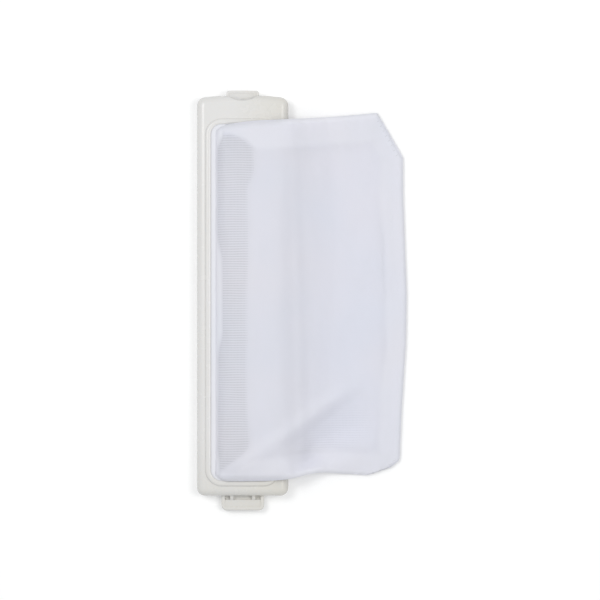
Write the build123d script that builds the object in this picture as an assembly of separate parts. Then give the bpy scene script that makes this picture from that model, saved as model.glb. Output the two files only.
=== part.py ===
"""Lint filter of a top-loading washing machine: moulded frame, spring latch, clamp ring and sewn mesh bag.

The frame lies on its back on z = 0 with its face up. Y runs along the frame towards the latch, and the bag
is folded over to +X. Sizes are in millimetres.
"""

import os
from math import radians, tan

from build123d import *

# Frame: outline, depth and walls
FRAME_WIDTH = 39.2
FRAME_LENGTH = 172.0
FRAME_DEPTH = 9.0
ARCH_RISE = 1.4  # the latch end is a shallow arch
LATCH_END_CORNER = 3.7
TONGUE_END_CORNER = 3.4
EDGE_ROUND = 3.2
WALL = 1.6
FACE = 1.4
ROUND_SHARE = 0.97  # how much of the room at a corner a round may take up

# Throat: the opening, nearer to the tongue end than to the latch end
SIDE_LAND = 6.3  # the face beside the throat
LATCH_LAND = 12.9  # the face between the throat and the arch's crown
TONGUE_LAND = 6.9
THROAT_CORNER = 4.4
THROAT_WALL = 1.5
BEAD_WIDTH = 2.6
BEAD_HEIGHT = 1.1
BEAD_ROUND = 1.0

# Stiffening ribs in the hollow back
RIB = 1.0
RIB_BACK = 1.5  # how far the ribs stay in from the back plane
SIDE_RIBS = 7
SIDE_RIB_PITCH = 21.0
LATCH_RIB_X = 9.6

# Fixed tongue
TONGUE_WIDTH = 18.4
TONGUE_REACH = 6.5
TONGUE_THICK = 2.2
TONGUE_TOP = 4.6
TONGUE_CORNER = 2.3
TONGUE_EDGE = 0.7
TONGUE_RIM = 1.5  # the raised rim round its three free edges
TONGUE_SINK = 0.4  # the plate below its rim
ROOT_SINK = 1.2  # the groove along its root below the plate
GUSSET = 1.4
GUSSET_SPACING = 9.4
GUSSET_REACH = 1.9
GUSSET_TOP = 5.8

# Latch: a tongue in a window of the end wall that bends at its root
LATCH_WIDTH = 14.0
LATCH_THICK = 1.5
LATCH_INSET = 1.05  # from the arch's crown back to the middle of the latch
LATCH_DROP = 2.0  # the latch's top below the face
LATCH_GAP = 0.4
HINGE_Z = 1.8
HINGE_CLEAR = 0.05
SILL_DEPTH = 3.2
BARB_REACH = 1.8  # past the arch's crown
BARB_HEIGHT = 2.6
BARB_LEAD = 1.3
BARB_CORNER = 1.2
BARB_EDGE = 0.3
BARB_LIP = 1.0  # the raised lip round the barb's free edges
BARB_SINK = 0.4  # the latch's middle below that lip
SCOOP_WIDTH = 16.6
SCOOP_DEEP = 2.8
SCOOP_SLOPE = 1.2  # how far the scoop's wall slopes in towards the latch

# Clamp ring and hem
CLOTH = 0.5
HEM_CLEAR = 0.05
HEM_BACK = 2.0  # the hem's lower edge above the back plane
RING_WALL = 1.2
RING_HEIGHT = 7.6
RING_FLANGE = 1.2
RING_LEAD = 0.5

# Bag: plan of the folded bag, and how far it stands up
BAG_REACH = 70.6
BAG_PEAK = 16.6
BAG_FLOOR = 0.7
LATCH_FLARE = 5.35  # how far the bag runs out past the mouth at its latch end
TONGUE_DRAW = 1.85  # how far it is drawn in at its tongue end
FAR_LATCH_X = 69.0  # far edge where it meets the large cut corner
FAR_TONGUE_X = 67.6  # far edge where it meets the small cut corner
LARGE_CUT = (11.3, 19.4)
SMALL_CUT = (13.8, 6.4)
SEAM = 0.8
SEAM_THICK = 1.7
FRONT_LEAN = 2.4  # how far the front panel leans in as it stands up
CROWN_RISE = 1.6
ROLL_WIDTH = 8.0  # from the frame's edge out to where the bag has fallen below the face
TOUCH_X = 39.0  # where the back panel comes down to the table
FLAT_X = 56.0  # where the two panels lie flat on each other
LAYER_GAP = 2.4
RIDGE_END = 13.0  # from each end in to where the crown is nearly at full height
RIDGE_PAST = 3.0
RIDGE_RISE = 0.6
FRONT_ROUNDS = (8.0, 40.0, 10.0, 18.0, 40.0, 40.0)
BACK_ROUNDS = (1.5, 4.0, 14.0, 40.0, 60.0)
RIDGE_ROUNDS = (6.0, 20.0, 200.0, 20.0, 6.0)
HEM_RISE = 1.2  # how far the hem stands above the bead

# Places that several pieces share
THROAT_WIDTH = FRAME_WIDTH - 2 * SIDE_LAND
THROAT_LENGTH = FRAME_LENGTH - LATCH_LAND - TONGUE_LAND
THROAT_Y = (TONGUE_LAND - LATCH_LAND) / 2
CROWN_Y = FRAME_LENGTH / 2
LATCH_Y = CROWN_Y - LATCH_INSET
LATCH_TOP = FRAME_DEPTH - LATCH_DROP
MOUTH_HALF = THROAT_WIDTH / 2 - HEM_CLEAR
MOUTH_LOW = THROAT_Y - THROAT_LENGTH / 2 + HEM_CLEAR
MOUTH_HIGH = THROAT_Y + THROAT_LENGTH / 2 - HEM_CLEAR
BEAD_TOP = FRAME_DEPTH + BEAD_HEIGHT
FRAME_EDGE = FRAME_WIDTH / 2
HEM_TOP = BEAD_TOP + HEM_RISE
BAG_LATCH_Y = MOUTH_HIGH + LATCH_FLARE
BAG_TONGUE_Y = MOUTH_LOW + TONGUE_DRAW
TONGUE_SLOPE = TONGUE_DRAW / (FAR_TONGUE_X - SMALL_CUT[0])
LATCH_SLOPE = LATCH_FLARE / (FAR_LATCH_X - LARGE_CUT[0])
OVERLAP = WALL / 2  # how deep a joined feature is rooted in a wall


def slab(face, low, high):
    """The face drawn in plan, raised from one level to another."""
    return extrude(Pos(0, 0, low) * face, amount=high - low)


def block(x, y, z):
    """A box between the two values of each of x, y and z."""
    size = (x[1] - x[0], y[1] - y[0], z[1] - z[0])
    middle = (sum(x) / 2, sum(y) / 2, sum(z) / 2)
    return Pos(*middle) * Box(*size)


def bar_along_x(radius, length):
    """A round bar on the latch's hinge line."""
    return Pos(0, LATCH_Y, HINGE_Z) * Rot(0, 90, 0) * Cylinder(radius, length)


def top_face(solid):
    return solid.faces().sort_by(Axis.Z)[-1]


def soft_line(points, rounds):
    """A line with rounded corners, where a round gives way to a side that is too short for it."""
    corners = [Vector(*point) for point in points]
    sides = [after - here for here, after in zip(corners, corners[1:])]
    room = [side.length / 2 for side in sides]
    room[0], room[-1] = sides[0].length, sides[-1].length
    fitted = []
    for number, radius in enumerate(rounds):
        half_turn = radians(sides[number].get_angle(sides[number + 1]) / 2)
        widest = ROUND_SHARE * min(room[number : number + 2]) / tan(half_turn)
        fitted.append(min(radius, widest))
    return FilletPolyline(*points, radius=fitted)


def frame_outline():
    """Plan of the frame: straight sides, square tongue end, arched latch end."""
    shoulder = CROWN_Y - ARCH_RISE
    left, right = (-FRAME_EDGE, shoulder), (FRAME_EDGE, shoulder)
    sides = Polyline(right, (FRAME_EDGE, -CROWN_Y), (-FRAME_EDGE, -CROWN_Y), left)
    plan = make_face(sides + ThreePointArc(left, (0, CROWN_Y), right))
    plan = fillet(plan.vertices().sort_by(Axis.Y)[:2], TONGUE_END_CORNER)
    return fillet(plan.vertices().sort_by(Axis.Y)[-2:], LATCH_END_CORNER)


def throat_plan(grow):
    """Plan of the throat's opening, grown all round."""
    width = THROAT_WIDTH + 2 * grow
    length = THROAT_LENGTH + 2 * grow
    return Pos(0, THROAT_Y) * RectangleRounded(width, length, THROAT_CORNER + grow)


def frame_block():
    """The frame's outer shape before it is hollowed."""
    outer = slab(frame_outline(), 0, FRAME_DEPTH)
    return fillet(top_face(outer).edges(), EDGE_ROUND)


def frame_hollow():
    """The space between the frame's walls, open at the back."""
    hollow = slab(offset(frame_outline(), -WALL), 0, FRAME_DEPTH - FACE)
    tightest = min(LATCH_END_CORNER, TONGUE_END_CORNER) - WALL
    return chamfer(top_face(hollow).edges(), min(EDGE_ROUND - WALL, ROUND_SHARE * tightest))


def bead():
    """The rounded lip round the mouth."""
    ring = throat_plan(BEAD_WIDTH) - throat_plan(0)
    lip = slab(ring, FRAME_DEPTH - FACE, BEAD_TOP)
    return fillet(top_face(lip).edges(), BEAD_ROUND)


def ribs():
    """Ribs between the outer wall and the throat's wall."""
    levels = (RIB_BACK, FRAME_DEPTH - FACE / 2)
    inner = THROAT_WIDTH / 2 + THROAT_WALL / 2
    outer = FRAME_EDGE - OVERLAP
    found = []
    for number in range(SIDE_RIBS):
        y = THROAT_Y + (number - (SIDE_RIBS - 1) / 2) * SIDE_RIB_PITCH
        for side in ((-outer, -inner), (inner, outer)):
            found.append(block(side, (y - RIB / 2, y + RIB / 2), levels))
    throat_low = THROAT_Y - THROAT_LENGTH / 2 - THROAT_WALL / 2
    throat_high = THROAT_Y + THROAT_LENGTH / 2 + THROAT_WALL / 2
    for side in (-1, 1):
        x = side * GUSSET_SPACING / 2
        found.append(block((x - RIB / 2, x + RIB / 2), (OVERLAP - CROWN_Y, throat_low), levels))
        x = side * LATCH_RIB_X
        found.append(block((x - RIB / 2, x + RIB / 2), (throat_high, CROWN_Y - OVERLAP - ARCH_RISE), levels))
    return found


def tongue_plan(inset):
    """Plan of the tongue, drawn in from its three free edges."""
    root = OVERLAP - CROWN_Y
    tip = inset - CROWN_Y - TONGUE_REACH
    plan = Pos(0, (root + tip) / 2) * Rectangle(TONGUE_WIDTH - 2 * inset, root - tip)
    return fillet(plan.vertices().sort_by(Axis.Y)[:2], TONGUE_CORNER - inset)


def fixed_tongue():
    """The plate that goes into the lower slot, with a rim, a groove along its root and two gussets."""
    root = OVERLAP - CROWN_Y
    plate = slab(tongue_plan(0), TONGUE_TOP - TONGUE_THICK, TONGUE_TOP)
    plate = fillet(top_face(plate).edges(), TONGUE_EDGE)
    level = TONGUE_TOP - TONGUE_SINK
    plate -= slab(tongue_plan(TONGUE_RIM), level, TONGUE_TOP)
    half = TONGUE_WIDTH / 2 - TONGUE_RIM
    plate -= block((-half, half), (-CROWN_Y - GUSSET_REACH, root), (level - ROOT_SINK, TONGUE_TOP))
    foot = level - ROOT_SINK - OVERLAP / 2
    outline = [(root, foot), (root, GUSSET_TOP), (-CROWN_Y, GUSSET_TOP), (-CROWN_Y - GUSSET_REACH, TONGUE_TOP)]
    outline.append((-CROWN_Y - GUSSET_REACH, foot))
    side_view = make_face(Polyline(*outline, close=True))
    for side in (-1, 1):
        x = side * GUSSET_SPACING / 2
        plate += extrude(Plane.YZ.offset(x) * side_view, GUSSET / 2, both=True)
    return plate


def latch_window():
    """What is cut from the frame for the latch, its hinge groove and the finger scoop."""
    half = LATCH_WIDTH / 2 + LATCH_GAP
    outside = CROWN_Y + LATCH_THICK
    opening = block((-half, half), (LATCH_Y - LATCH_THICK, outside), (HINGE_Z, FRAME_DEPTH - FACE))
    groove = bar_along_x(LATCH_THICK / 2 + HINGE_CLEAR, 2 * half)
    radius = (SCOOP_WIDTH**2 / 4 + SCOOP_DEEP**2) / (2 * SCOOP_DEEP)
    upright = (Align.CENTER, Align.CENTER, Align.MIN)
    scoop = Cone(radius - SCOOP_SLOPE, radius, LATCH_DROP, align=upright)
    return opening + groove + Pos(0, CROWN_Y - SCOOP_DEEP + radius, LATCH_TOP) * scoop


def frame():
    """The moulded frame with its throat, bead, ribs, tongue and latch window."""
    outer = frame_block()
    body = outer - frame_hollow()
    body += slab(throat_plan(THROAT_WALL), RING_FLANGE, FRAME_DEPTH - FACE / 2)
    for rib in ribs():
        body += rib & outer
    sill_half = LATCH_WIDTH / 2 + WALL
    sill_y = (LATCH_Y - SILL_DEPTH / 2, CROWN_Y)
    body += block((-sill_half, sill_half), sill_y, (0, HINGE_Z)) & outer
    body -= slab(throat_plan(0), 0, FRAME_DEPTH)
    body += bead()
    body += fixed_tongue()
    return body - latch_window()


def barb_plan(inset):
    """Plan of the barb, drawn in from its three free edges."""
    tip = CROWN_Y + BARB_REACH - inset
    plan = Pos(0, (LATCH_Y + tip) / 2) * Rectangle(LATCH_WIDTH - 2 * inset, tip - LATCH_Y)
    return fillet(plan.vertices().sort_by(Axis.Y)[-2:], BARB_CORNER - inset)


def barb():
    """The catch at the latch's free end: rounded in plan, with a lip and a sloping underside."""
    tip = CROWN_Y + BARB_REACH
    catch = slab(barb_plan(0), LATCH_TOP - BARB_HEIGHT, LATCH_TOP)
    catch = chamfer(top_face(catch).edges(), BARB_EDGE)
    catch -= slab(barb_plan(BARB_LIP), LATCH_TOP - BARB_SINK, LATCH_TOP)
    low = LATCH_TOP - BARB_HEIGHT
    under = [(LATCH_Y + LATCH_THICK / 2, low), (tip, low), (tip, low + BARB_LEAD)]
    return catch - extrude(Plane.YZ * make_face(Polyline(*under, close=True)), LATCH_WIDTH, both=True)


def latch():
    """The spring catch: a leaf with a round root and a barb at its free end."""
    half = LATCH_WIDTH / 2
    leaf_y = (LATCH_Y - LATCH_THICK / 2, LATCH_Y + LATCH_THICK / 2)
    leaf = block((-half, half), leaf_y, (HINGE_Z, LATCH_TOP - BARB_SINK))
    leaf += bar_along_x(LATCH_THICK / 2, LATCH_WIDTH)
    return leaf + barb()


def clamp_ring():
    """The tube that presses the hem against the throat, with its flange on the throat's back edge."""
    outer = -2 * HEM_CLEAR - CLOTH
    inner = outer - RING_WALL
    tube = slab(throat_plan(outer) - throat_plan(inner), 0, RING_HEIGHT)
    tube = chamfer(top_face(tube).edges(), RING_LEAD)
    return tube + slab(throat_plan(THROAT_WALL) - throat_plan(inner), 0, RING_FLANGE)


def front_profile():
    """Across the bag, all below the front panel: it stands up in the mouth and falls to the far seam."""
    seam_top = BAG_FLOOR + SEAM_THICK
    points = [
        (-MOUTH_HALF, FRAME_DEPTH),
        (FRONT_LEAN - MOUTH_HALF, BAG_PEAK - CROWN_RISE),
        (0, BAG_PEAK),
        (FRAME_EDGE - FRONT_LEAN, BAG_PEAK - CROWN_RISE),
        (FRAME_EDGE + ROLL_WIDTH, FRAME_DEPTH),
        (TOUCH_X, seam_top + LAYER_GAP),
        (FLAT_X, seam_top),
        (BAG_REACH + SEAM, seam_top),
    ]
    top = soft_line(points, FRONT_ROUNDS)
    corners = [points[-1], (points[-1][0], -BAG_PEAK), (-MOUTH_HALF, -BAG_PEAK), points[0]]
    return make_face(top + Polyline(*corners))


def back_profile():
    """Across the bag, all above the back panel: it rolls over the frame's edge and lies on the table."""
    points = [
        (MOUTH_HALF, FRAME_DEPTH),
        (MOUTH_HALF, HEM_TOP + CLOTH),
        (FRAME_EDGE + CLOTH, HEM_TOP),
        (FRAME_EDGE + ROLL_WIDTH, FRAME_DEPTH / 2),
        (TOUCH_X, BAG_FLOOR + LAYER_GAP / 2),
        (FLAT_X, BAG_FLOOR),
        (BAG_REACH + SEAM, BAG_FLOOR),
    ]
    bottom = soft_line(points, BACK_ROUNDS)
    high = 2 * BAG_PEAK
    corners = [points[-1], (points[-1][0], high), (-FRAME_WIDTH, high), (-FRAME_WIDTH, FRAME_DEPTH), points[0]]
    return make_face(bottom + Polyline(*corners))


def ridge_profile():
    """Along the bag, all below the crown, which sinks at both ends."""
    end_height = HEM_TOP + SEAM_THICK
    low, high = MOUTH_LOW - SEAM, MOUTH_HIGH + RIDGE_PAST
    points = [
        (-FRAME_LENGTH, end_height),
        (low, end_height),
        (low + RIDGE_END, BAG_PEAK - CROWN_RISE),
        (THROAT_Y, BAG_PEAK + RIDGE_RISE),
        (high - RIDGE_END, BAG_PEAK - CROWN_RISE),
        (high, end_height),
        (FRAME_LENGTH, end_height),
    ]
    top = soft_line(points, RIDGE_ROUNDS)
    corners = [points[-1], (FRAME_LENGTH, -BAG_PEAK), (-FRAME_LENGTH, -BAG_PEAK), points[0]]
    return make_face(top + Polyline(*corners))


def run_along(profile):
    """A profile across the bag, run on past both ends."""
    return Pos(0, FRAME_LENGTH, 0) * extrude(Plane.XZ * profile, 2 * FRAME_LENGTH)


def run_across(profile):
    """A profile along the bag, run on past both sides."""
    return Pos(-2 * BAG_REACH, 0, 0) * extrude(Plane.YZ * profile, 4 * BAG_REACH)


def bag_plan():
    """Plan of the bag: two long seams, a bowed far edge and two cut corners."""
    large = [(FAR_LATCH_X, BAG_LATCH_Y - LARGE_CUT[1]), (FAR_LATCH_X - LARGE_CUT[0], BAG_LATCH_Y)]
    small = [(FAR_TONGUE_X - SMALL_CUT[0], BAG_TONGUE_Y), (FAR_TONGUE_X, BAG_TONGUE_Y + SMALL_CUT[1])]
    near = [(-FRAME_WIDTH, MOUTH_HIGH - LATCH_SLOPE * FRAME_WIDTH)]
    near.append((-FRAME_WIDTH, MOUTH_LOW - TONGUE_SLOPE * FRAME_WIDTH))
    return make_face(Polyline(*large, *near, *small) + ThreePointArc(small[1], (BAG_REACH, 0), large[0]))


def beside_mouth(inset):
    """The corners beside the round ends of the mouth, below the hem's top."""
    near = block((-FRAME_WIDTH, MOUTH_HALF - inset), (-FRAME_LENGTH, FRAME_LENGTH), (0, HEM_TOP + inset))
    return near - slab(throat_plan(-HEM_CLEAR - inset), 0, 2 * BAG_PEAK)


def below_front(inset):
    """All that lies below the front panel's outer side, or its inner side."""
    across, along = front_profile(), ridge_profile()
    if inset:
        across, along = offset(across, -inset), offset(along, -inset)
    return run_along(across) & run_across(along)


def bag_block():
    """The bag's outer shape above the mouth, as if it were solid."""
    shape = below_front(0) & run_along(back_profile()) & slab(bag_plan(), 0, 2 * BAG_PEAK)
    return shape - beside_mouth(0)


def bag_front():
    """The bag's front panel."""
    return bag_block() - below_front(CLOTH)


def bag_back():
    """The bag's back panel with its folded-up ends and the hem in the throat."""
    room = run_along(offset(back_profile(), -CLOTH)) & slab(offset(bag_plan(), -SEAM), 0, 2 * BAG_PEAK)
    tray = (bag_block() & below_front(CLOTH)) - (room - beside_mouth(CLOTH))
    hem = slab(throat_plan(-HEM_CLEAR), HEM_BACK, FRAME_DEPTH)
    hem_room = slab(throat_plan(-HEM_CLEAR - CLOTH), HEM_BACK, FRAME_DEPTH + CLOTH)
    return tray + hem - hem_room


def main():
    os.makedirs("parts", exist_ok=True)
    pieces = {"frame": frame, "latch": latch, "clamp_ring": clamp_ring}
    pieces.update({"bag_front": bag_front, "bag_back": bag_back})
    for name, make in pieces.items():
        export_step(make(), f"parts/{name}.step")


if __name__ == "__main__":
    main()
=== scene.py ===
"""Looks of a washing machine lint filter: moulded frame, spring latch, clamp ring and a sewn mesh bag.

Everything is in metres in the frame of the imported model. Sizes in the classes are in millimetres.
"""

import logging
import math
from dataclasses import dataclass
from enum import Enum

import bmesh
import bpy
import numpy as np
from mathutils import Matrix, Vector, noise


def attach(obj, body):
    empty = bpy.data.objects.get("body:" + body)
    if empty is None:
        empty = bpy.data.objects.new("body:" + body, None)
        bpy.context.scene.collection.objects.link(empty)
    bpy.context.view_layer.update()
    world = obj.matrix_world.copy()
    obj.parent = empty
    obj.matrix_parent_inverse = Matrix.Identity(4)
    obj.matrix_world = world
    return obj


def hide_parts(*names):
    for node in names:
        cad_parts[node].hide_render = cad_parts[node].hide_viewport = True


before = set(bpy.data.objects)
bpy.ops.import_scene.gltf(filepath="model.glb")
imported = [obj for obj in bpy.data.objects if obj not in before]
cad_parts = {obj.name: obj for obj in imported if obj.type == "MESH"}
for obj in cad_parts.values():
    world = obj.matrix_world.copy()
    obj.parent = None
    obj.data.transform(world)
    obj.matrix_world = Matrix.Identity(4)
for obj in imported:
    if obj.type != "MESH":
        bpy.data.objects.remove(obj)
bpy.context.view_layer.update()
MM = 0.001
UV_UNIT = 100.0  # millimetres of cloth in one unit of its UV map
UV_PER_METRE = 10.0
NOISE_CORE = (0.3, 0.7)  # the middle of a noise's range
log = logging.getLogger("lint_filter")

Point = tuple[float, float]
Place = tuple[float, float, float]
Colour = tuple[float, float, float]


class Edge(Enum):
    """The three sewn edges of the bag."""

    LATCH_END = "latch_end"
    FAR = "far"
    TONGUE_END = "tongue_end"


class Sheet(Enum):
    """The two panels of the bag."""

    FRONT = "front"
    BACK = "back"


def smoothstep(low: float, high: float, value: float) -> float:
    """A soft step from 0 to 1.

    Args:
        low: Where the step starts.
        high: Where the step ends.
        value: Where it is read.

    Returns:
        The height of the step there.
    """
    share = min(max((value - low) / (high - low), 0.0), 1.0)
    return share * share * (3 - 2 * share)


def soft_lower(one: float, other: float, softness: float) -> float:
    """The lower of two heights, with a soft change between them.

    Args:
        one: The first height.
        other: The second height.
        softness: How wide the change is.

    Returns:
        The lower height, rounded where the two meet.
    """
    share = min(max(0.5 + 0.5 * (other - one) / softness, 0.0), 1.0)
    return other + (one - other) * share - softness * share * (1 - share)


class SoftLine:
    """A line through guide points with its corners rounded off, read by its length."""

    STEP = 0.2

    def __init__(self, points: list[Point], softness: float) -> None:
        """Lays the line out.

        Args:
            points: Guide points.
            softness: Length over which a corner is rounded off.
        """
        knots = np.array(points, float)
        lengths = np.concatenate([[0.0], np.cumsum(np.hypot(*np.diff(knots, axis=0).T))])
        steps = np.arange(0.0, lengths[-1], self.STEP)
        line = np.stack([np.interp(steps, lengths, knots[:, i]) for i in (0, 1)], axis=1)
        line = np.vstack([line, knots[-1]])
        window = max(int(softness / self.STEP) // 2, 1)
        for _ in range(2):
            line = self._worn(line, window)
        self.line = line
        self.lengths = np.concatenate([[0.0], np.cumsum(np.hypot(*np.diff(line, axis=0).T))])
        self.total = float(self.lengths[-1])

    @staticmethod
    def _worn(line: np.ndarray, window: int) -> np.ndarray:
        """The line averaged over a window that shrinks to nothing at both ends.

        Args:
            line: Its points.
            window: How many points count on each side.

        Returns:
            The averaged points.
        """
        sums = np.vstack([np.zeros(2), np.cumsum(line, axis=0)])
        count = len(line)
        index = np.arange(count)
        half = np.minimum(np.minimum(index, count - 1 - index), window)
        return (sums[index + half + 1] - sums[index - half]) / (2 * half + 1)[:, None]

    def at(self, length: float) -> Point:
        """The point at a length along the line."""
        return tuple(float(np.interp(length, self.lengths, self.line[:, i])) for i in (0, 1))

    def height_at(self, across: float) -> float:
        """The height at a place across, where the line only runs outwards."""
        return float(np.interp(across, self.line[:, 0], self.line[:, 1]))


class NodeBoard:
    """A material's nodes, laid out and wired in short calls."""

    MIX_INPUTS = (0, 6, 7)  # the factor and the two colours of a Mix node
    MIX_RESULT = 2

    def __init__(self, name: str) -> None:
        """Starts a material with an output node.

        Args:
            name: The material's name.
        """
        self.material = bpy.data.materials.new(name)
        self.material.use_nodes = True
        self.tree = self.material.node_tree
        self.tree.nodes.clear()
        self.output = self.tree.nodes.new("ShaderNodeOutputMaterial")

    def add(self, kind: str, **settings: object) -> bpy.types.Node:
        """A node with some of its properties set.

        Args:
            kind: Node type without its prefix.
            **settings: Properties of the node.

        Returns:
            The node.
        """
        node = self.tree.nodes.new("ShaderNode" + kind)
        for name, value in settings.items():
            setattr(node, name, value)
        return node

    def wire(self, source: bpy.types.NodeSocket, target: bpy.types.NodeSocket) -> None:
        """Joins an output to an input."""
        self.tree.links.new(source, target)

    def feed(self, node: bpy.types.Node, **inputs: object) -> bpy.types.Node:
        """Sets or wires inputs of a node, named with underscores for spaces.

        Args:
            node: The node.
            **inputs: A value or an output socket for each input.

        Returns:
            The same node.
        """
        for name, value in inputs.items():
            socket = node.inputs[name.replace("_", " ")]
            if isinstance(value, bpy.types.NodeSocket):
                self.wire(value, socket)
            else:
                socket.default_value = value
        return node

    def sum(self, operation: str, *values: object, clamp: bool = False) -> bpy.types.NodeSocket:
        """A Math node.

        Args:
            operation: The node's operation.
            *values: Numbers or output sockets.
            clamp: Whether the result stays between 0 and 1.

        Returns:
            The result's socket.
        """
        node = self.add("Math", operation=operation, use_clamp=clamp)
        for socket, value in zip(node.inputs, values):
            if isinstance(value, bpy.types.NodeSocket):
                self.wire(value, socket)
            else:
                socket.default_value = value
        return node.outputs[0]

    def ramp(self, value: object, start: Point, end: Point) -> bpy.types.NodeSocket:
        """A value moved from one range to another.

        Args:
            value: The value's socket.
            start: Lowest and highest value that comes in.
            end: What they become.

        Returns:
            The result's socket.
        """
        node = self.add("MapRange")
        self.feed(node, Value=value, From_Min=start[0], From_Max=start[1], To_Min=end[0], To_Max=end[1])
        return node.outputs["Result"]

    def tint(self, factor: object, one: object, other: object, blend: str = "MIX") -> bpy.types.NodeSocket:
        """Two colours mixed.

        Args:
            factor: How much of the second colour.
            one: First colour or socket.
            other: Second colour or socket.
            blend: How they are mixed.

        Returns:
            The mixed colour's socket.
        """
        node = self.add("Mix", data_type="RGBA", blend_type=blend)
        sockets = [node.inputs[index] for index in self.MIX_INPUTS]
        for socket, value in zip(sockets, (factor, one, other)):
            if isinstance(value, bpy.types.NodeSocket):
                self.wire(value, socket)
            elif isinstance(value, tuple):
                socket.default_value = (*value, 1.0)
            else:
                socket.default_value = value
        return node.outputs[self.MIX_RESULT]

    def cloud(self, place: bpy.types.NodeSocket, scale: float, detail: float = 2.0) -> bpy.types.NodeSocket:
        """Noise read at a place.

        Args:
            place: The coordinates.
            scale: Its scale.
            detail: Its detail.

        Returns:
            The noise's value.
        """
        node = self.add("TexNoise")
        self.feed(node, Vector=place, Scale=scale, Detail=detail, Roughness=0.55)
        return node.outputs[0]

    def close(self, shader: bpy.types.NodeSocket) -> bpy.types.Material:
        """Wires the surface and gives the finished material."""
        self.wire(shader, self.output.inputs["Surface"])
        return self.material


@dataclass(frozen=True)
class MouldedPlastic:
    """Off-white moulded plastic that has yellowed a little towards one corner, with painted shade that darkens
    it towards the tongue end.
    """

    name: str
    colour: Colour
    aged: Colour
    # colour of the painted shade towards the tongue end, where the low tongue lies in shade
    painted_end_shade: Colour
    roughness: float
    aged_across: Point = (-0.004, 0.020)
    # where along Y, in metres, the painted shade towards the tongue end starts and is strongest
    painted_end_shade_along: Point = (-0.06, -0.087)
    speck: Colour = (0.62, 0.60, 0.55)
    cloud_scale: float = 34.0
    gloss_scale: float = 160.0
    grain_scale: float = 1600.0
    sag_scale: float = 30.0
    glow_depth: Place = (0.004, 0.0035, 0.003)

    def build(self) -> bpy.types.Material:
        """The material.

        Returns:
            Satin plastic with a cloudy tint, painted shade towards the tongue end, a moulded grain and a
            roughness that varies.
        """
        board = NodeBoard(self.name)
        place = board.add("TexCoord").outputs["Object"]
        split = board.feed(board.add("SeparateXYZ"), Vector=place)
        across = board.ramp(split.outputs["X"], self.aged_across, (0.0, 0.6))
        # painted shade: the plastic gets darker towards the tongue end, standing in for the shade on the low
        # tongue
        along = board.ramp(split.outputs["Y"], self.painted_end_shade_along, (0.0, 0.7))
        cloud = board.ramp(board.cloud(place, self.cloud_scale, 1.0), NOISE_CORE, (0.0, 0.14))
        age = board.sum("ADD", across, cloud, clamp=True)
        grain = board.cloud(place, self.grain_scale, 2.0)
        colour = board.tint(along, self.colour, self.painted_end_shade)
        colour = board.tint(age, colour, self.aged)
        colour = board.tint(board.ramp(grain, NOISE_CORE, (0.0, 0.03)), colour, self.speck)
        gloss = (self.roughness - 0.02, self.roughness + 0.03)
        rough = board.ramp(board.cloud(place, self.gloss_scale, 3.0), NOISE_CORE, gloss)
        sag = board.cloud(place, self.sag_scale, 0.0)
        dips = board.feed(board.add("Bump"), Height=sag, Strength=0.015, Distance=0.0004)
        pores = board.feed(board.add("Bump"), Height=grain, Strength=0.02, Distance=0.00002)
        board.wire(dips.outputs[0], pores.inputs["Normal"])
        shader = board.add("BsdfPrincipled")
        board.feed(shader, Base_Color=colour, Roughness=rough, Normal=pores.outputs[0], IOR=1.49)
        board.feed(shader, Subsurface_Weight=0.08, Subsurface_Scale=0.4, Subsurface_Radius=self.glow_depth)
        return board.close(shader.outputs[0])


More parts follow.
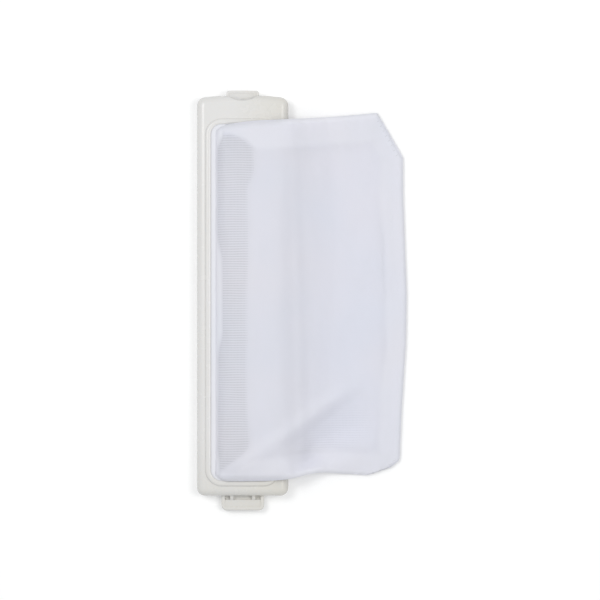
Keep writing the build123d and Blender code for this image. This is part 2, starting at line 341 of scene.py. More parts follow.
@dataclass(frozen=True)
class FilterMesh:
    """Fine white filter mesh: rows of thread with small gaps, thicker where it is folded or hemmed, and with
    painted shade along the bag's rolled sewn edges.
    """

    name: str
    thread: Colour
    gap: Colour
    row_pitch: float
    column_pitch: float
    open_alpha: float
    thread_alpha: float
    translucency: float = 0.45
    milky: Colour = (0.93, 0.97, 1.0)
    # colour of the painted shade along the rolled sewn edges, where the cloth turns away from the light
    sewn: Colour = (0.90, 0.905, 0.89)

    def build(self) -> bpy.types.Material:
        """The material.

        Returns:
            Mesh whose gaps let through what lies behind it.
        """
        board = NodeBoard(self.name)
        cloth = board.add("UVMap", uv_map="cloth").outputs[0]
        drift = board.ramp(board.cloud(cloth, 6.0, 1.0), NOISE_CORE, (-0.002, 0.002))
        split = board.feed(board.add("SeparateXYZ"), Vector=cloth)
        turn = 2 * math.pi * UV_UNIT
        row_at = board.sum("ADD", split.outputs["Y"], drift)
        row = board.sum("SINE", board.sum("MULTIPLY", row_at, turn / self.row_pitch))
        column = board.sum("SINE", board.sum("MULTIPLY", split.outputs["X"], turn / self.column_pitch))
        row = board.ramp(row, (-0.75, 0.6), (0.0, 1.0))
        column = board.ramp(column, (-0.6, 0.9), (0.0, 0.6))
        patch = board.ramp(board.cloud(cloth, 9.0, 3.0), (0.35, 0.65), (-0.1, 0.1))
        cover = board.sum("ADD", board.sum("MAXIMUM", row, column), patch, clamp=True)
        ply = board.add("Attribute", attribute_name="ply").outputs["Fac"]
        calm = board.sum("MULTIPLY", ply, 2.0, clamp=True)
        flat = board.sum("MULTIPLY", calm, 0.8)
        cover = board.sum("MULTIPLY_ADD", cover, board.sum("SUBTRACT", 1.0, calm), flat)
        alpha = board.ramp(cover, (0.0, 1.0), (self.open_alpha, self.thread_alpha))
        alpha = board.sum("ADD", alpha, board.sum("MULTIPLY", ply, 0.6), clamp=True)
        thin = board.ramp(ply, (0.0, 1.0), (self.translucency, 0.05))
        colour = board.tint(cover, self.gap, self.thread)
        milky = board.ramp(board.cloud(cloth, 2.2, 2.0), NOISE_CORE, (0.0, 0.5))
        colour = board.tint(milky, colour, self.milky, "MULTIPLY")
        # painted shade: the cloth is darkened along the rolled sewn edges
        edge_shade_mask = board.add("Attribute", attribute_name="edge_shade_mask").outputs["Fac"]
        colour = board.tint(edge_shade_mask, colour, self.sewn, "MULTIPLY")
        bump = board.feed(board.add("Bump"), Height=cover, Strength=0.12, Distance=0.0001)
        shader = board.add("BsdfPrincipled")
        board.feed(shader, Base_Color=colour, Roughness=0.62, Normal=bump.outputs[0])
        board.feed(shader, Sheen_Weight=0.1, Sheen_Roughness=0.4)
        glow = board.feed(board.add("BsdfTranslucent"), Color=colour)
        cloth_shader = board.add("MixShader")
        board.wire(thin, cloth_shader.inputs[0])
        board.wire(shader.outputs[0], cloth_shader.inputs[1])
        board.wire(glow.outputs[0], cloth_shader.inputs[2])
        see_through = board.add("MixShader")
        board.wire(alpha, see_through.inputs[0])
        board.wire(board.add("BsdfTransparent").outputs[0], see_through.inputs[1])
        board.wire(cloth_shader.outputs[0], see_through.inputs[2])
        return board.close(see_through.outputs[0])


@dataclass(frozen=True)
class SewingThread:
    """Twisted white sewing thread."""

    name: str
    colour: Colour
    shade: Colour = (0.60, 0.61, 0.66)
    twist_scale: float = 900.0

    def build(self) -> bpy.types.Material:
        """The material.

        Returns:
            Soft thread with a fine twist.
        """
        board = NodeBoard(self.name)
        place = board.add("TexCoord").outputs["Object"]
        wave = board.add("TexWave", bands_direction="DIAGONAL")
        twist = board.feed(wave, Vector=place, Scale=self.twist_scale, Distortion=0.6).outputs["Fac"]
        colour = board.tint(board.ramp(twist, (0.0, 1.0), (0.0, 0.35)), self.colour, self.shade)
        bump = board.feed(board.add("Bump"), Height=twist, Strength=0.4, Distance=0.00008)
        shader = board.add("BsdfPrincipled")
        board.feed(shader, Base_Color=colour, Roughness=0.55, Normal=bump.outputs[0], Sheen_Weight=0.2)
        return board.close(shader.outputs[0])


@dataclass(frozen=True)
class StudioFloor:
    """White paper that the camera sees as white and that keeps a soft shadow."""

    name: str
    paper: Colour
    glow: float

    def build(self) -> bpy.types.Material:
        """The material.

        Returns:
            Diffuse paper with a glow that only seen and mirrored rays meet.
        """
        board = NodeBoard(self.name)
        paper = board.add("BsdfDiffuse")
        paper.inputs["Color"].default_value = (*self.paper, 1.0)
        light = board.add("Emission")
        light.inputs["Strength"].default_value = self.glow
        rays = board.add("LightPath").outputs
        seen = board.sum("MAXIMUM", rays["Is Camera Ray"], rays["Is Glossy Ray"])
        seen = board.sum("MAXIMUM", seen, rays["Is Transmission Ray"])
        dark = board.add("Emission")
        dark.inputs["Strength"].default_value = 0.0
        choose = board.add("MixShader")
        board.wire(seen, choose.inputs[0])
        board.wire(dark.outputs[0], choose.inputs[1])
        board.wire(light.outputs[0], choose.inputs[2])
        both = board.add("AddShader")
        board.wire(paper.outputs[0], both.inputs[0])
        board.wire(choose.outputs[0], both.inputs[1])
        return board.close(both.outputs[0])


def new_piece(
    mesh: bmesh.types.BMesh, name: str, material: bpy.types.Material, smooth: bool = True
) -> bpy.types.Object:
    """Turns a bmesh into an object at the origin.

    Args:
        mesh: The finished bmesh, in metres. It is freed.
        name: The piece's name.
        material: Its material.
        smooth: Whether its faces shade smoothly.

    Returns:
        The new object.
    """
    for face in mesh.faces:
        face.smooth = smooth
    data = bpy.data.meshes.new(name)
    mesh.to_mesh(data)
    mesh.free()
    data.materials.append(material)
    piece = bpy.data.objects.new(name, data)
    bpy.context.scene.collection.objects.link(piece)
    return piece


def lay_cloth(mesh: bmesh.types.BMesh, places: dict[bmesh.types.BMVert, Point]) -> None:
    """Writes the flat places of a cloth to its UV map.

    Args:
        mesh: The cloth's bmesh.
        places: The flat place of each vertex, in units of the UV map.
    """
    uv = mesh.loops.layers.uv.new("cloth")
    for face in mesh.faces:
        for loop in face.loops:
            loop[uv].uv = places[loop.vert]


def paint(piece: bpy.types.Object, name: str, values: list[float]) -> None:
    """Writes one value for each vertex of a piece, which its material reads.

    Args:
        piece: The piece.
        name: What the value is called.
        values: The values.
    """
    piece.data.attributes.new(name, "FLOAT", "POINT")
    piece.data.attributes[name].data.foreach_set("value", values)


@dataclass
class MouldedBody:
    """The frame, latch and clamp ring, which keep their solids and get their plastic."""

    frame_finish: MouldedPlastic
    ring_finish: MouldedPlastic

    def dress(self) -> None:
        """Puts the plastics on the nodes."""
        finishes = {"frame": self.frame_finish, "latch": self.frame_finish, "clamp_ring": self.ring_finish}
        made = {finish: finish.build() for finish in dict.fromkeys(finishes.values())}
        for node, finish in finishes.items():
            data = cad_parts[node].data
            data.materials.clear()
            data.materials.append(made[finish])
            log.info("dressed %s in %s", node, finish.name)


@dataclass(frozen=True)
class Thickness:
    """How dense the cloth looks where layers touch, from 0 for one layer to 1 for a thick fold; the ridge and
    slope values are painted highlight and painted light, not cloth.
    """

    touching: float = 0.11
    doubled: float = 0.15
    # painted highlight along the lit side of the slanting ridge
    ridge: float = 0.1
    # painted light that lightens the slope where the bag rolls off the frame's edge
    slope_painted_light: float = 0.1
    slack: float = 0.12
    folded: float = 0.2
    seam: float = 0.5
    end: float = 0.7
    hem: float = 0.75
    gusset: float = 0.4
    rolled: float = 1.0
    most: float = 0.75
    less_in_dent: float = 0.55
    less_in_notch: float = 0.6


@dataclass
class FilterBag:
    """The sewn bag, folded over to one side of the frame."""

    finish: FilterMesh
    hem_finish: FilterMesh
    thread: SewingThread
    columns: int = 150
    rows: int = 220
    thickness: Thickness = Thickness()
    stretch_from: float = 30.0
    reach: float = 70.6
    ends_at: float = 60.0  # where across the bag its length is read
    mouth_low: float = -79.0
    mouth_high: float = 73.0
    mouth_half: float = 13.2
    mouth_edge: float = 12.0  # how far the sewn ends start before the middle
    corner: float = 3.2
    corner_span: Point = (-11.4, -4.0)
    fold_at: float = 3.0
    slack_limit: float = -8.0
    far_slant: float = 0.85  # a cut corner is nearer than it is across
    fold_start: Point = (-10.6, -80.4)
    fold_end: Point = (48.4, -37.9)
    ridge_height: float = 1.1
    dent_depth: float = 2.7
    notch_depth: float = 1.1
    frame_mark: float = 0.35
    ripple_height: float = 0.5
    crease_height: float = 0.22
    end_pucker: float = 0.14
    far_pucker: float = 0.1
    gusset_width: float = 22.0  # flat, folded once along its middle
    far_fold: float = 9.6
    latch_fold: float = 12.4
    tongue_fold: float = 10.0
    mouth_fold: float = 4.0
    hem_top: float = 10.4
    hem_seat: float = 0.3
    hem_corner: float = 4.4
    hem_width: float = 3.0
    hem_height: float = 2.6
    hem_round: float = 0.7
    hem_wave: float = 0.25
    stitch_pitch: float = 2.4
    stitch_radius: float = 0.13
    frame_clear: float = 24.0  # where the bag has left the frame

    def __post_init__(self) -> None:
        """Lays out the lines that the panels follow."""
        self.front_line = SoftLine([
            (-11.4, 10.4), (-10.8, 12.2), (-9.6, 13.8), (-7.0, 15.2), (0.0, 16.5), (17.4, 14.9), (27.6, 9.0),
            (39.0, 4.9), (56.0, 2.6), (self.reach, 2.4)], 5.0)
        self.crown_line = SoftLine([
            (-100.0, 13.0), (-79.8, 13.0), (-66.8, 15.0), (-2.5, 17.2), (63.0, 15.0), (76.0, 13.0),
            (100.0, 13.0)], 9.0)
        self.back_line = SoftLine([
            (12.7, 9.4), (12.2, 11.6), (8.0, 12.1), (3.6, 12.6), (3.0, 13.1), (4.0, 13.6), (10.0, 13.4),
            (16.0, 13.0), (20.2, 11.4), (24.5, 7.8), (29.0, 4.9), (39.0, 2.5), (55.0, 1.3),
            (self.reach, 1.0)], 2.2)
        self.latch_edge = SoftLine([
            (-20.0, 72.2), (-11.0, 72.5), (-3.0, 73.6), (5.0, 74.8), (20.0, 75.2), (40.0, 77.0), (57.7, 78.7),
            (75.0, 79.9)], 8.0)
        self.tongue_edge = SoftLine([
            (-20.0, -79.3), (-8.0, -79.5), (12.0, -79.3), (21.0, -78.4), (30.0, -76.3), (37.0, -76.2),
            (42.0, -76.8), (53.8, -77.5), (75.0, -77.8)], 4.0)
        self.far_edge = SoftLine([
            (-77.6, 53.8), (-74.2, 63.7), (-70.9, 67.6), (-52.0, 68.3), (-20.0, 70.3), (0.0, 70.6),
            (20.0, 69.9), (42.0, 69.1), (59.0, 69.0), (78.8, 57.9)], 1.2)

    def build(self) -> list[bpy.types.Object]:
        """Builds the panels, gusset, hem and stitches.

        Returns:
            The pieces of the bag.
        """
        mesh_cloth = self.finish.build()
        hem_cloth = self.hem_finish.build()
        front = self._panel(Sheet.FRONT, mesh_cloth)
        back = self._panel(Sheet.BACK, mesh_cloth)
        gusset = self._gusset(mesh_cloth)
        hem = self._hem(hem_cloth)
        stitches = self._stitches(self.thread.build())
        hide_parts("bag_front")
        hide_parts("bag_back")
        pieces = [front, back, gusset, hem, stitches]
        for piece in pieces:
            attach(piece, "filter")
            log.info("sewed %s with %d faces", piece.name, len(piece.data.polygons))
        return pieces

    def _ends(self, x: float) -> Point:
        """Where the edges at the tongue end and at the latch end lie at a place across."""
        return self.tongue_edge.height_at(x), self.latch_edge.height_at(x)

    def _from_seam(self, x: float, y: float) -> float:
        """How far in from the nearest sewn edge a place is."""
        low, high = self._ends(x)
        return min(y - low, high - y, self.far_slant * (self.far_edge.height_at(y) - x))

    def _place(self, across: float, share: float) -> Point:
        """The plan place of a point of a panel.

        Args:
            across: Place across the bag before it is drawn to its far edge.
            share: Place along the bag from 0 at the tongue end to 1 at the latch end.

        Returns:
            The point in plan.
        """
        low, high = self._ends(self.ends_at)
        far = self.far_edge.height_at(low + share * (high - low))
        x, start = across, self.stretch_from
        if across > start:
            x = start + (across - start) * (far - start) / (self.reach - start)
        low, high = self._ends(x)
        y = low + share * (high - low)
        from_corner = max(min(y - low, high - y), 0.0)
        if from_corner < self.corner:
            drawn_in = self.corner - math.sqrt(self.corner**2 - (self.corner - from_corner) ** 2)
            x += drawn_in * (1 - smoothstep(*self.corner_span, across))
        return x, y

    def _hollow(self, x: float, y: float) -> tuple[float, float]:
        """Place of a point against the slanting fold at the tongue end.

        Args:
            x: Place across.
            y: Place along.

        Returns:
            How far along the fold and how far off to its side.
        """
        start, end = Vector(self.fold_start), Vector(self.fold_end)
        run = (end - start).normalized()
        from_start = Vector((x, y)) - start
        return from_start.dot(run), from_start.dot(Vector((-run.y, run.x)))

    def _dent(self, x: float, y: float) -> float:
        """The dent beside the slanting fold.

        Args:
            x: Place across.
            y: Place along.

        Returns:
            How much of the dent there is, from 0 to 1.
        """
        along, off = self._hollow(x, y)
        reach = smoothstep(26.0, 42.0, along) * (1 - smoothstep(56.0, 76.0, along))
        wall = 0.5 * smoothstep(0.0, 6.0, -off) + 0.5 * smoothstep(3.0, 13.0, -off)
        return (wall - smoothstep(14.0, 26.0, -off)) * reach

    @staticmethod
    def _notch(x: float, y: float) -> float:
        """How much of the valley from the dent to the tongue end's seam there is, from 0 to 1."""
        middle = 26.0 + 0.35 * (y + 76.0)
        return math.exp(-(((x - middle) / 4.5) ** 2)) * (1 - smoothstep(-68.0, -56.0, y))

    def _folds(self, x: float, y: float) -> float:
        """Soft folds of the front panel.

        Args:
            x: Place across.
            y: Place along.

        Returns:
            How far the cloth stands up or sinks there.
        """
        along, off = self._hollow(x, y)
        reach = smoothstep(-2.0, 14.0, along) * (1 - smoothstep(58.0, 82.0, along))
        ridge = self.ridge_height * math.exp(-((off / 4.5) ** 2)) * reach
        dent = -self.dent_depth * self._dent(x, y) - self.notch_depth * self._notch(x, y)
        edge = self.frame_mark * math.exp(-(((x - 24.0 + 0.03 * y) / 2.2) ** 2))
        ripple = noise.noise(Vector((x * 0.035 + y * 0.02, y * 0.05 - x * 0.03, 3.7)))
        crease = noise.noise(Vector((x * 0.16, y * 0.055, 8.1)))
        return ridge + dent + edge + self.ripple_height * ripple + self.crease_height * crease

    def _pucker(self, x: float, y: float, share: float) -> float:
        """Small ripples where the seams draw the cloth in.

        Args:
            x: Place across.
            y: Place along.
            share: Place along from 0 to 1.

        Returns:
            Height of the ripple.
        """
        low, high = self._ends(x)
        from_end = min(y - low, high - y)
        from_far = max(self.far_edge.height_at(y) - x, 0.0)
        stray = 2.0 * noise.noise(Vector((x * 0.1, share * 3, 1.0)))
        ends = math.exp(-from_end / 3.0) * math.sin(1.35 * x + stray)
        stray = 2.0 * noise.noise(Vector((share * 9, 0.4, 2.0)))
        far = math.exp(-from_far / 3.0) * math.sin(1.1 * y + stray)
        return self.end_pucker * ends * smoothstep(14.0, self.frame_clear, x) + self.far_pucker * far

    def front_height(self, across: float, x: float, y: float, share: float) -> float:
        """Height of the front panel.

        Args:
            across: Place across before the far edge is drawn in.
            x: Place across.
            y: Place along.
            share: Place along from 0 to 1.

        Returns:
            Its height.
        """
        height = self.front_line.height_at(across)
        calm = smoothstep(-11.5, -6.0, x) * (1 - smoothstep(self.reach - 6.0, self.reach, across))
        low, high = self._ends(x)
        calm *= smoothstep(0.0, 7.0, min(y - low, high - y))
        height = soft_lower(height, self.crown_line.height_at(y), 1.4)
        return height + self._folds(x, y) * calm + self._pucker(x, y, share) - self._edge_roll(x, y)

    def _edge_roll(self, x: float, y: float) -> float:
        """How far the turned edge of the bag rolls down to its seam.

        Args:
            x: Place across.
            y: Place along.

        Returns:
            The drop at that place.
        """
        over_mouth = 1 - smoothstep(12.0, self.frame_clear, x)
        drop, width = 0.9 + 1.7 * over_mouth, 2.0 + 1.2 * over_mouth
        return drop * (1 - smoothstep(-0.4, width, self._from_seam(x, y))) ** 1.5

    def back_height(self, across: float) -> float:
        """Height of the back panel beyond the frame's edge."""
        outward = self.back_line.line[np.argmin(self.back_line.line[:, 0]):]
        return float(np.interp(across, outward[:, 0], outward[:, 1]))

    def _panel(self, sheet: Sheet, material: bpy.types.Material) -> bpy.types.Object:
        """One panel of the bag as a single layer of cloth.

        Args:
            sheet: Which panel.
            material: Its cloth.

        Returns:
            The panel.
        """
        line = self.front_line if sheet is Sheet.FRONT else self.back_line
        mesh = bmesh.new()
        bmesh.ops.create_grid(mesh, x_segments=self.columns, y_segments=self.rows, size=0.5)
        cloth = {}
        for vert in mesh.verts:
            length, share = (vert.co.x + 0.5) * line.total, vert.co.y + 0.5
            across, height = line.at(length)
            x, y = self._place(across, share)
            if sheet is Sheet.FRONT:
                z = self.front_height(across, x, y, share)
            else:
                slack = max(self._slack_edge(y), self.slack_limit)
                x += (slack - self.fold_at) * (1 - smoothstep(5.0, 13.0, across))
                low, high = self._ends(x)
                y = low + share * (high - low)
                z = self._back_sag(height, across, x, y, length, share)
            cloth[vert] = ((length - across + x) / UV_UNIT, y / UV_UNIT)
            vert.co = Vector((x, y, z)) * MM
        lay_cloth(mesh, cloth)
        if sheet is Sheet.BACK:
            bmesh.ops.reverse_faces(mesh, faces=mesh.faces)
        piece = new_piece(mesh, f"bag_{sheet.value}_panel", material)
        places = [(vert.co.x / MM, vert.co.y / MM) for vert in piece.data.vertices]
        shown = sheet is Sheet.FRONT
        paint(piece, "ply", [self._layers(*place) if shown else 0.0 for place in places])
        # how much painted shade each place gets along the sewn border
        paint(piece, "edge_shade_mask", [self._edge_shade_at(*place) for place in places])
        return piece

    def _edge_shade_at(self, x: float, y: float) -> float:
        """How much painted shade the bag's rolled sewn edge gets at a place, from 0 to 1."""
        return 1 - smoothstep(0.3, 1.0, self._from_seam(x, y))

    def _layers(self, x: float, y: float) -> float:
        """How much doubled cloth lies against the front panel: seam allowances and the slack by the mouth, plus
        a painted highlight along the slanting ridge and painted light on the slope where the bag rolls off the
        frame.

        Args:
            x: Place across.
            y: Place along.

        Returns:
            From 0 for a single layer to 1 for a thick fold.
        """
        dense = self.thickness
        low, high = self._ends(x)
        wander = 1.3 * noise.noise(Vector((x * 0.08, y * 0.06, 4.4)))
        folded = 1 - smoothstep(8.4, 10.6, self.far_edge.height_at(y) - x + wander)
        for edge, inside in ((Edge.LATCH_END, high - y), (Edge.TONGUE_END, y - low)):
            depth = self._fold_in(edge, x, y)
            folded = max(folded, 1 - smoothstep(depth - 1.6, depth + 1.2, inside))
        folded *= 1 - dense.less_in_notch * self._notch(x, y)
        by_hem = 1 - smoothstep(-11.4, -9.8, x + 0.4 * wander - self._hem_strip(y))
        by_end = 1 - smoothstep(1.5, 4.0, min(y - low, high - y))
        slack_edge = self._slack_edge(y)
        doubled = smoothstep(slack_edge - 1.8, slack_edge + 1.8, x + 0.5 * wander)
        slack = doubled * (1 - smoothstep(13.0, 21.0, x + wander))
        along, off = self._hollow(x, y)
        # painted highlight: a strip on the lit side of the slanting ridge is made denser, and so lighter
        ridge = math.exp(-(((off - 2.0) / 2.4) ** 2)) * smoothstep(8.0, 20.0, along)
        ridge *= 1 - smoothstep(56.0, 72.0, along)
        dent = self._dent(x, y)
        # painted light: the slope where the bag rolls off the frame's edge is made denser, and so lighter,
        # against its shade
        slope_painted_light = math.exp(-(((x - 23.5) / 4.5) ** 2)) * (1 - dent)
        touching = dense.touching + dense.doubled * doubled * (1 - dense.less_in_dent * dent)
        touching += dense.ridge * ridge
        touching += dense.slope_painted_light * slope_painted_light * doubled
        loose = touching + dense.slack * slack + dense.folded * folded
        return min(max(loose, dense.seam * folded, dense.hem * by_hem, dense.end * by_end), dense.most)

    @staticmethod
    def _hem_strip(y: float) -> float:
        """How much wider the hem's turned-in edge shows at a place along the mouth."""
        middle = 1.8 * smoothstep(-26.0, -14.0, y) * (1 - smoothstep(14.0, 26.0, y))
        return middle + 2.0 * smoothstep(62.0, 69.0, y) + 0.8 * smoothstep(66.0, 72.0, -y)

    @staticmethod
    def _slack_edge(y: float) -> float:
        """Where the slack of the back panel ends over the throat.

        Args:
            y: Place along.

        Returns:
            The place across of its edge.
        """
        toward_latch = 3.0 * smoothstep(44.0, 54.0, y) - 3.4 * smoothstep(62.0, 67.0, y)
        toward_latch -= 14.0 * smoothstep(66.0, 71.5, y)
        toward_tongue = -14.0 * smoothstep(64.0, 78.5, -y)
        return 2.8 + toward_latch + toward_tongue + 0.5 * math.sin(0.07 * y)

    def _back_sag(self, height: float, across: float, x: float, y: float, length: float, share: float) -> float:
        """Height of the back panel with its slack.

        Args:
            height: Height of the plain line.
            across: Place across before the far edge is drawn in.
            x: Place across.
            y: Place along.
            length: Length along the panel from the hem.
            share: Place along from 0 to 1.

        Returns:
            Its height.
        """
        slack = 0.35 * noise.noise(Vector((x * 0.05, y * 0.045, 5.5))) * smoothstep(24.0, 34.0, across)
        ceiling = self.front_height(x if across < self.stretch_from else across, x, y, share) - 0.8
        lowest = 0.6
        by_hem = length < 20.0 and across < self.frame_clear
        sunk = soft_lower(height, self.crown_line.height_at(y) - 1.0, 1.5) if by_hem else height
        return max(min(sunk + slack, ceiling), lowest)

    def _border(self, share: float) -> tuple[Edge, float, float]:
        """A place on the sewn border, from the mouth's latch end round the far edge to its tongue end.

        Args:
            share: Place along the border from 0 to 1.

        Returns:
            The edge, and the panel place there across and along.
        """
        ends = self.reach + self.mouth_edge
        total = 2 * ends + (self.mouth_high - self.mouth_low)
        run = share * total
        if run < ends:
            return Edge.LATCH_END, -self.mouth_edge + run, 1.0
        if run < total - ends:
            return Edge.FAR, self.reach, 1.0 - (run - ends) / (total - 2 * ends)
        return Edge.TONGUE_END, -self.mouth_edge + (total - run), 0.0

    @property
    def gusset_run(self) -> float:
        """Length of the gusset strip along the three edges."""
        return 2 * (self.reach + self.mouth_edge) + (self.mouth_high - self.mouth_low)

    def _fold_in(self, edge: Edge, x: float, y: float) -> float:
        """How far the gusset is folded in between the panels.

        Args:
            edge: The edge it is on.
            x: Place across.
            y: Place along.

        Returns:
            The depth of the fold.
        """
        wander = 1.2 * noise.noise(Vector((x * 0.09, y * 0.07, 2.2)))
        if edge is Edge.FAR:
            return self.far_fold + wander
        deep = self.latch_fold if edge is Edge.LATCH_END else self.tongue_fold
        return self.mouth_fold + (deep - self.mouth_fold) * smoothstep(-6.0, 8.0, x) + wander

    def _gusset(self, material: bpy.types.Material) -> bpy.types.Object:
        """The strip between the two panels, folded inwards along its middle.

        Args:
            material: Its cloth.

        Returns:
            The gusset.
        """
        mesh = bmesh.new()
        bmesh.ops.create_grid(mesh, x_segments=self.columns * 3, y_segments=12, size=0.5)
        cloth = {}
        for vert in mesh.verts:
            run, fold = vert.co.x + 0.5, vert.co.y + 0.5
            edge, across, share = self._border(run)
            x, y = self._place(across, share)
            inward = 1 - abs(2 * fold - 1)
            depth = self._fold_in(edge, x, y) * inward
            near_across, near_share = self._inward(edge, across, share, depth)
            px, py = self._place(near_across, near_share)
            front = self.front_height(near_across, px, py, near_share)
            lower = self.hem_top
            if near_across > 14:
                flat = self.back_height(near_across)
                lower = self._back_sag(flat, near_across, px, py, self.reach, near_share)
            top, bottom = front - 0.28 * inward, lower + 0.22 * inward
            step = smoothstep(0.42, 0.58, fold)
            z = top + (min(bottom, top - 0.1) - top) * step
            cloth[vert] = (fold * self.gusset_width / UV_UNIT, run * self.gusset_run / UV_UNIT)
            vert.co = Vector((px, py, z)) * MM
        lay_cloth(mesh, cloth)
        piece = new_piece(mesh, "bag_gusset", material)
        paint(piece, "ply", [self.thickness.gusset] * len(piece.data.vertices))
        return piece

    def _inward(self, edge: Edge, across: float, share: float, depth: float) -> tuple[float, float]:
        """A panel place moved in from the border.

        Args:
            edge: The edge it is on.
            across: Panel place across.
            share: Panel place along.
            depth: How far it moves in.

        Returns:
            The moved panel place.
        """
        length = self.mouth_high - self.mouth_low
        if edge is Edge.FAR:
            corner = min(share, 1 - share) * length
            turn = max(0.0, 1 - corner / depth) if depth > 0 else 0.0
            step = 0.6 * depth * turn / length
            return across - depth, share + (step if share < 0.5 else -step)
        inward = depth if edge is Edge.TONGUE_END else -depth
        return min(across, self.reach - 0.4 * depth), share + inward / length

    def _hem(self, material: bpy.types.Material) -> bpy.types.Object:
        """The rolled hem that lines the mouth.

        Args:
            material: Its cloth.

        Returns:
            The hem.
        """
        mesh = bmesh.new()
        bmesh.ops.create_grid(mesh, x_segments=1, y_segments=1, size=0.5)
        low, high = self.mouth_low - self.hem_seat, self.mouth_high + self.hem_seat
        half = self.mouth_half + self.hem_seat
        size = Vector((2 * half, high - low, 1.0)) * MM
        bmesh.ops.scale(mesh, verts=mesh.verts, vec=size)
        bmesh.ops.bevel(mesh, geom=mesh.verts[:], offset=self.hem_corner * MM, offset_type="OFFSET",
                        affect="VERTICES", segments=10, profile=0.5, material=-1)
        bmesh.ops.inset_region(mesh, faces=mesh.faces[:], thickness=self.hem_width * MM, use_even_offset=True,
                               use_boundary=True)
        middle = max(mesh.faces, key=lambda face: face.calc_area())
        bmesh.ops.delete(mesh, geom=[middle], context="FACES")
        band = mesh.faces[:]
        raised = bmesh.ops.extrude_face_region(mesh, geom=band)["geom"]
        top = [item for item in raised if isinstance(item, bmesh.types.BMVert)]
        bmesh.ops.translate(mesh, verts=top, vec=Vector((0, 0, self.hem_height * MM)))
        bmesh.ops.recalc_face_normals(mesh, faces=mesh.faces[:])
        rims = [edge for edge in mesh.edges
                if edge.verts[0] in top and edge.verts[1] in top and self._is_rim(edge)]
        bmesh.ops.bevel(mesh, geom=rims, offset=self.hem_round * MM, offset_type="OFFSET", affect="EDGES",
                        segments=4, profile=0.5, material=-1)
        long = [edge for edge in mesh.edges if edge.calc_length() > 20 * MM]
        bmesh.ops.subdivide_edges(mesh, edges=long, cuts=60, use_grid_fill=True)
        seat = Vector((0, (low + high) / 2, self.hem_top - self.hem_height)) * MM
        bmesh.ops.translate(mesh, verts=mesh.verts, vec=seat)
        for vert in mesh.verts:
            wave = noise.noise(Vector((vert.co.x * 60, vert.co.y * 60, 6.0)))
            vert.co.z += self.hem_wave * MM * wave * smoothstep(9.2 * MM, self.hem_top * MM, vert.co.z)
        lay_cloth(mesh, {vert: (vert.co.x * UV_PER_METRE, vert.co.y * UV_PER_METRE) for vert in mesh.verts})
        piece = new_piece(mesh, "bag_hem", material)
        paint(piece, "ply", [self.thickness.rolled] * len(piece.data.vertices))
        return piece

    @staticmethod
    def _is_rim(edge: bmesh.types.BMEdge) -> bool:
        """Whether an edge lies between the band's top and its side."""
        return len(edge.link_faces) == 2 and abs(edge.calc_face_angle(0.0)) > 0.8

    def _stitches(self, material: bpy.types.Material) -> bpy.types.Object:
        """Sewn stitches along the two cut corners.

        Args:
            material: Their thread.

        Returns:
            The stitches as one piece.
        """
        mesh = bmesh.new()
        seam, inner = self._seam_line(1.5), self._seam_line(3.0)
        runs = np.concatenate([[0.0], np.cumsum(np.linalg.norm(np.diff(seam, axis=0), axis=1))])
        highest = self._ends(self.ends_at)[1] - 3.0
        place, pitch = 1.0, self.stitch_pitch
        while place < runs[-1] - pitch:
            start, end = self._along(seam, runs, place), self._along(seam, runs, place + 0.7 * pitch)
            run = (end - start).normalized()
            slants = min(abs(run.x), abs(run.y)) > 0.2 and start.x > 50
            if slants and min(self._along(seam, runs, place - pitch).y, end.y) < highest:
                self._one_stitch(mesh, start, self._along(inner, runs, place + 0.3 * pitch))
            place += pitch
        return new_piece(mesh, "bag_stitches", material)

    def _seam_line(self, inset: float) -> np.ndarray:
        """A line on the front panel along its sewn border, beyond the frame.

        Args:
            inset: How far in from the edge it runs.

        Returns:
            Its points.
        """
        points, steps = [], 600
        for step in range(steps + 1):
            edge, across, share = self._border(step / steps)
            near_across, near_share = self._inward(edge, across, share, inset)
            x, y = self._place(near_across, near_share)
            if self._place(across, share)[0] > self.frame_clear:
                points.append((x, y, self.front_height(near_across, x, y, near_share) + 0.05))
        return np.array(points)

    @staticmethod
    def _along(line: np.ndarray, runs: np.ndarray, place: float) -> Vector:
        """The point of a line at a run along the seam."""
        return Vector([float(np.interp(place, runs, line[:, i])) for i in range(3)])

    def _one_stitch(self, mesh: bmesh.types.BMesh, start: Vector, end: Vector) -> None:
        """Adds one stitch.

        Args:
            mesh: The bmesh that it goes into.
            start: Where the thread comes up.
            end: Where it goes down.
        """
        turn = (end - start).to_track_quat("Z", "Y").to_matrix().to_4x4()
        radius = self.stitch_radius * MM
        size = Matrix.Diagonal((radius, radius, (end - start).length / 2 * MM, 1.0))
        matrix = Matrix.Translation((start + end) / 2 * MM) @ turn @ size
        bmesh.ops.create_uvsphere(mesh, u_segments=6, v_segments=5, radius=1.0, matrix=matrix)


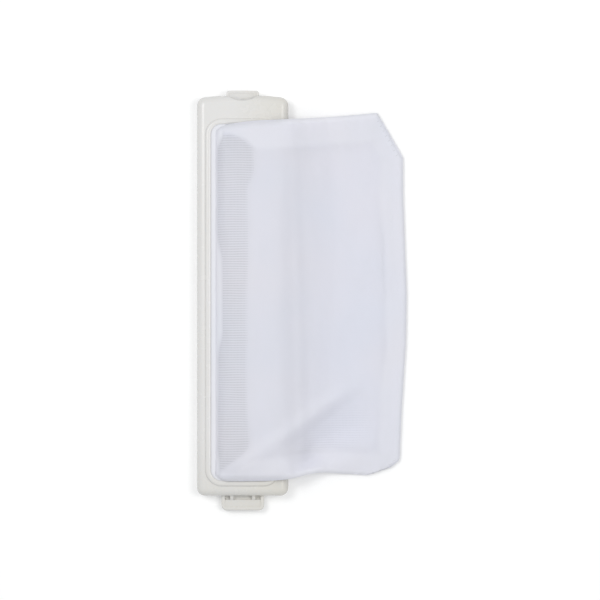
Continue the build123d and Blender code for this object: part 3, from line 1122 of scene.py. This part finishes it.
@dataclass
class Studio:
    """White paper, soft light from above and a camera straight over the filter."""

    floor: StudioFloor
    centre: Point = (24.6, -2.0)
    field: float = 256.8
    distance: float = 1000.0
    face_height: float = 9.0
    sensor: float = 36.0
    left_lamp: Place = (-0.36, 0.24, 0.85)
    left_power: float = 2.45
    right_lamp: Place = (0.42, 0.02, 0.85)
    right_power: float = 2.0
    lamp_size: float = 0.34
    lamp_colour: Colour = (1.0, 0.99, 0.97)
    sky_colour: Colour = (0.96, 0.98, 1.0)
    sky_strength: float = 0.55

    def build(self) -> None:
        """Sets up the paper, the light and the camera."""
        self._paper()
        self._light("left_softbox", self.left_lamp, self.left_power)
        self._light("right_softbox", self.right_lamp, self.right_power)
        self._sky()
        self._camera()

    def _paper(self) -> None:
        """The floor."""
        mesh = bmesh.new()
        bmesh.ops.create_grid(mesh, x_segments=1, y_segments=1, size=3.0)
        paper = new_piece(mesh, "paper_floor", self.floor.build(), smooth=False)

    def _light(self, name: str, place: Place, power: float) -> None:
        """A soft square lamp that points at the filter.

        Args:
            name: The lamp's name.
            place: Where it hangs.
            power: Its power in watts.
        """
        lamp = bpy.data.lights.new(name, "AREA")
        lamp.size = self.lamp_size
        lamp.energy = power
        lamp.color = self.lamp_colour
        item = bpy.data.objects.new(name, lamp)
        item.location = place
        aim = Vector((self.centre[0] * MM, self.centre[1] * MM, 0.0)) - Vector(place)
        item.rotation_euler = aim.to_track_quat("-Z", "Y").to_euler()
        bpy.context.scene.collection.objects.link(item)

    def _sky(self) -> None:
        """Even light from all sides, which seen, mirrored and refracted rays meet as white."""
        world = bpy.data.worlds.new("studio")
        world.use_nodes = True
        tree = world.node_tree
        nodes, links = tree.nodes, tree.links
        back = nodes["Background"]
        back.inputs["Color"].default_value = (*self.sky_colour, 1.0)
        back.inputs["Strength"].default_value = self.sky_strength
        seen = nodes.new("ShaderNodeBackground")
        seen.inputs["Color"].default_value = (1.0, 1.0, 1.0, 1.0)
        seen.inputs["Strength"].default_value = 1.0
        rays, choose = nodes.new("ShaderNodeLightPath").outputs, nodes.new("ShaderNodeMixShader")
        shown = self._math(tree, "MAXIMUM", rays["Is Camera Ray"], rays["Is Glossy Ray"])
        through_glass = self._math(tree, "SUBTRACT", rays["Is Transmission Ray"], rays["Is Diffuse Ray"])
        shown = self._math(tree, "MAXIMUM", shown, through_glass)
        links.new(shown, choose.inputs[0])
        links.new(back.outputs[0], choose.inputs[1])
        links.new(seen.outputs[0], choose.inputs[2])
        links.new(choose.outputs[0], nodes["World Output"].inputs["Surface"])
        bpy.context.scene.world = world

    @staticmethod
    def _math(tree: bpy.types.NodeTree, operation: str, one: bpy.types.NodeSocket,
              other: bpy.types.NodeSocket) -> bpy.types.NodeSocket:
        """Two values put together by a Math node of the sky.

        Args:
            tree: The sky's nodes.
            operation: The node's operation.
            one: First value.
            other: Second value.

        Returns:
            The result's socket.
        """
        node = tree.nodes.new("ShaderNodeMath")
        node.operation = operation
        tree.links.new(one, node.inputs[0])
        tree.links.new(other, node.inputs[1])
        return node.outputs[0]

    def _camera(self) -> None:
        """The camera, with the frame's length upright in the picture."""
        data = bpy.data.cameras.new("overhead")
        data.sensor_width = self.sensor
        data.lens = self.sensor * self.distance / self.field
        data.clip_end = 20.0
        camera = bpy.data.objects.new("overhead", data)
        camera.location = Vector((*self.centre, self.distance + self.face_height)) * MM
        bpy.context.scene.collection.objects.link(camera)
        bpy.context.scene.camera = camera


def main() -> None:
    """Dresses the solids, sews the bag and sets up the studio."""
    logging.basicConfig(level=logging.INFO, format="%(message)s")
    bpy.context.scene.view_settings.view_transform = "Standard"
    # the third colour of each plastic is the painted shade towards the tongue end
    shell = MouldedPlastic("frame_plastic", colour=(0.777, 0.769, 0.760), aged=(0.725, 0.700, 0.632),
                           painted_end_shade=(0.716, 0.704, 0.672), roughness=0.26)
    ring = MouldedPlastic("ring_plastic", colour=(0.770, 0.755, 0.730), aged=(0.745, 0.720, 0.660),
                          painted_end_shade=(0.730, 0.715, 0.690), roughness=0.5)
    MouldedBody(shell, ring).dress()
    mesh = FilterMesh("filter_mesh", thread=(0.94, 0.935, 0.99), gap=(0.93, 0.925, 0.985), row_pitch=1.05,
                      column_pitch=0.62, open_alpha=0.74, thread_alpha=0.96)
    hem = FilterMesh("hem_mesh", thread=(0.85, 0.85, 0.89), gap=(0.82, 0.82, 0.86), row_pitch=0.7,
                     column_pitch=0.62, open_alpha=1.0, thread_alpha=1.0)
    FilterBag(mesh, hem, SewingThread("seam_thread", colour=(0.80, 0.81, 0.85))).build()
    Studio(StudioFloor("white_paper", (0.86, 0.86, 0.86), 0.22)).build()


if __name__ == "__main__":
    main()
